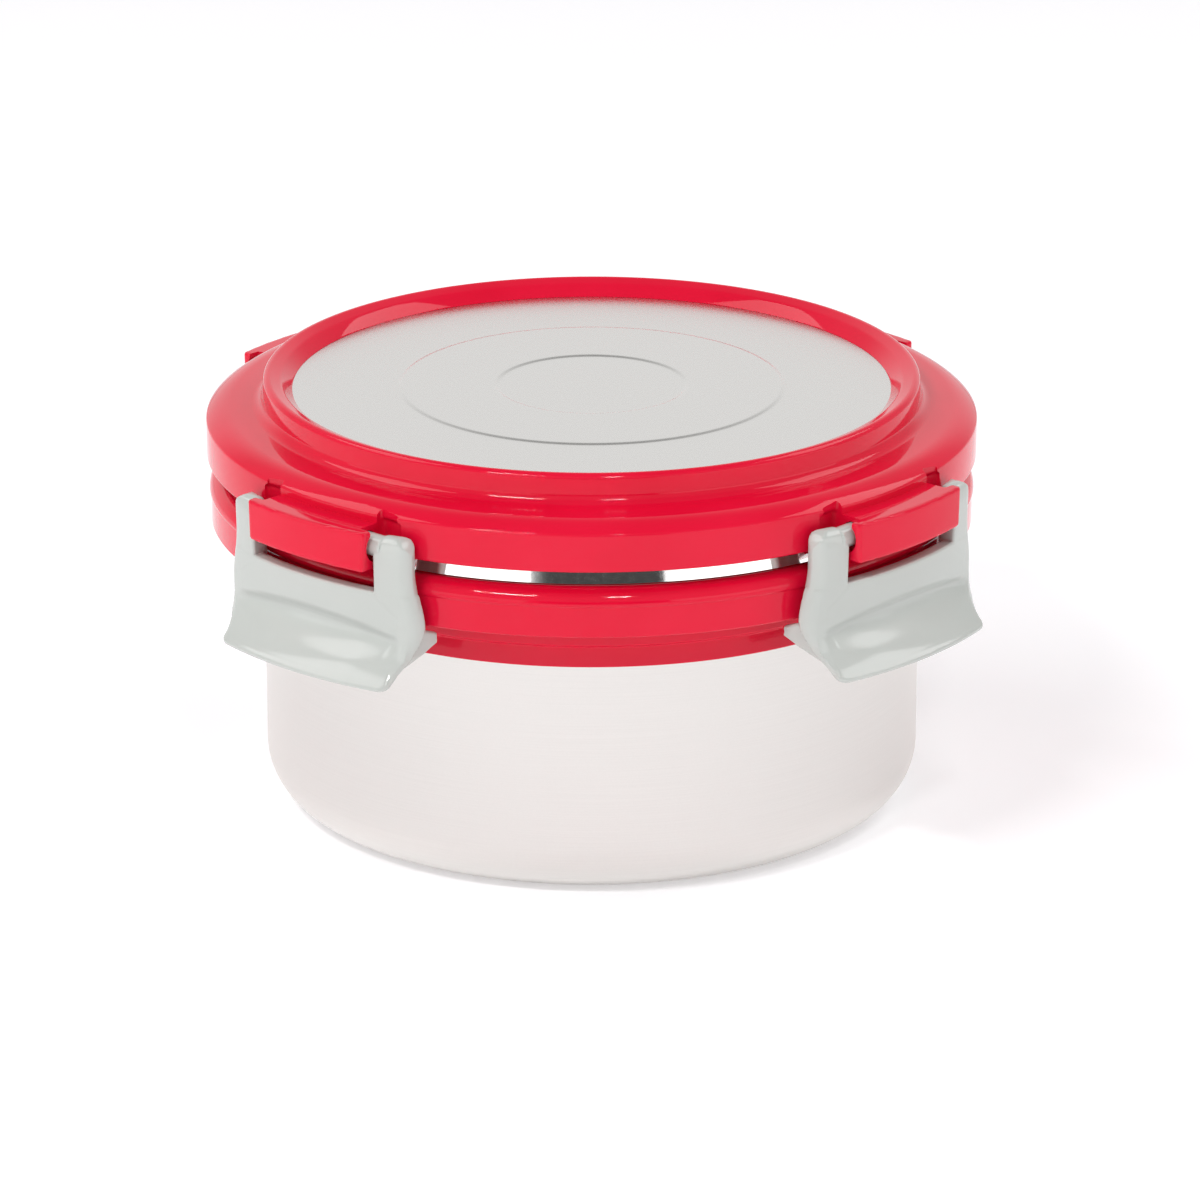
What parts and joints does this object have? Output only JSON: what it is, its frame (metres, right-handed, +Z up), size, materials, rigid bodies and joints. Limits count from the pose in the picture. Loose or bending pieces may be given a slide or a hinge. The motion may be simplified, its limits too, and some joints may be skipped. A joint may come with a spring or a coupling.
{
  "type": "round steel lunch box",
  "caption": "Round steel food container with a clip-down plastic lid ring, steel disc in the lid and hinged side clips",
  "frame": {"origin": "centre of the bowl's flat base, on the surface that the box stands on", "axes": "+Z up along the box's own axis; the hinged clips lie on the -Y, +X, +Y and -X sides"},
  "size_m": [0.1492, 0.1492, 0.0751],
  "materials": {
    "brushed_steel": "fine horizontal brushing, mirror polished at the rim",
    "satin_steel": "satin",
    "red_plastic": "gloss",
    "grey_plastic": "satin gloss",
    "silicone": "satin"
  },
  "bodies": {
    "bowl_body": {"bowl": "brushed_steel", "collar": "red_plastic"},
    "lid_body": {"lid_frame": "red_plastic", "lid_disc": "satin_steel", "lid_inner_plate": "satin_steel", "gasket": "silicone"},
    "clip_front_body": {"clip_front": "grey_plastic"},
    "clip_right_body": {"clip_right": "grey_plastic"},
    "clip_back_body": {"clip_back": "grey_plastic"},
    "clip_left_body": {"clip_left": "grey_plastic"}
  },
  "joints": [
    {"name": "lid_lift", "type": "slide", "parent": "bowl_body", "child": "lid_body", "axis": [0, 0, 1], "range_m": [0, 0.09]},
    {"name": "clip_front_hinge", "type": "hinge", "parent": "lid_body", "child": "clip_front_body", "pos_m": [0, -0.0671, 0.0638], "axis": [-1, 0, 0], "range_deg": [0, 115]},
    {"name": "clip_right_hinge", "type": "hinge", "parent": "lid_body", "child": "clip_right_body", "pos_m": [0.0671, 0, 0.0638], "axis": [0, -1, 0], "range_deg": [0, 115]},
    {"name": "clip_back_hinge", "type": "hinge", "parent": "lid_body", "child": "clip_back_body", "pos_m": [0, 0.0671, 0.0638], "axis": [1, 0, 0], "range_deg": [0, 115]},
    {"name": "clip_left_hinge", "type": "hinge", "parent": "lid_body", "child": "clip_left_body", "pos_m": [-0.0671, 0, 0.0638], "axis": [0, 1, 0], "range_deg": [0, 115]}
  ]
}
